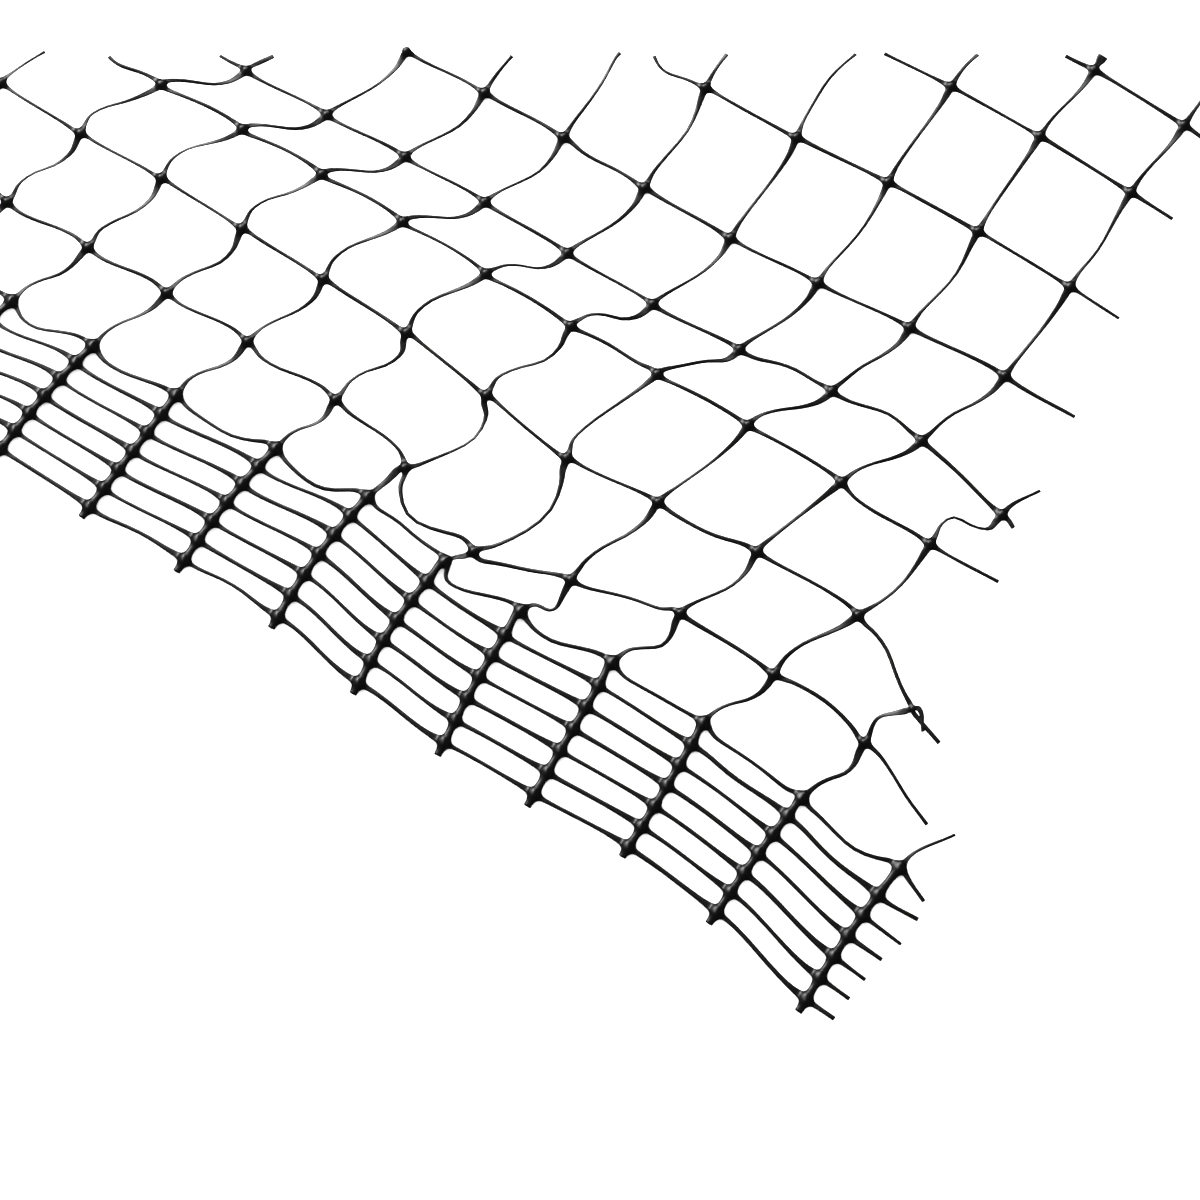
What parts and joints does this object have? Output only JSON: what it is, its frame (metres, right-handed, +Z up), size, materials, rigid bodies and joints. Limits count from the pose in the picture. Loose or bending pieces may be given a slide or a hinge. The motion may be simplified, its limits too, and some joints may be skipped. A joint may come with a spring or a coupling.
{
  "type": "bird netting piece",
  "caption": "Cut piece of black extruded plastic bird netting lying loose, with a reinforced edge of thick cross bars and close strands.",
  "frame": {"origin": "middle of the piece in plan, on the surface it lies on", "axes": "+X along the reinforced edge, +Y across the piece away from that edge, +Z up"},
  "size_m": [0.245, 0.1932, 0.007],
  "materials": {
    "drawn_plastic": "satin, drawn and slightly streaked"
  },
  "bodies": {
    "root": {"netting": "drawn_plastic"}
  },
  "joints": []
}
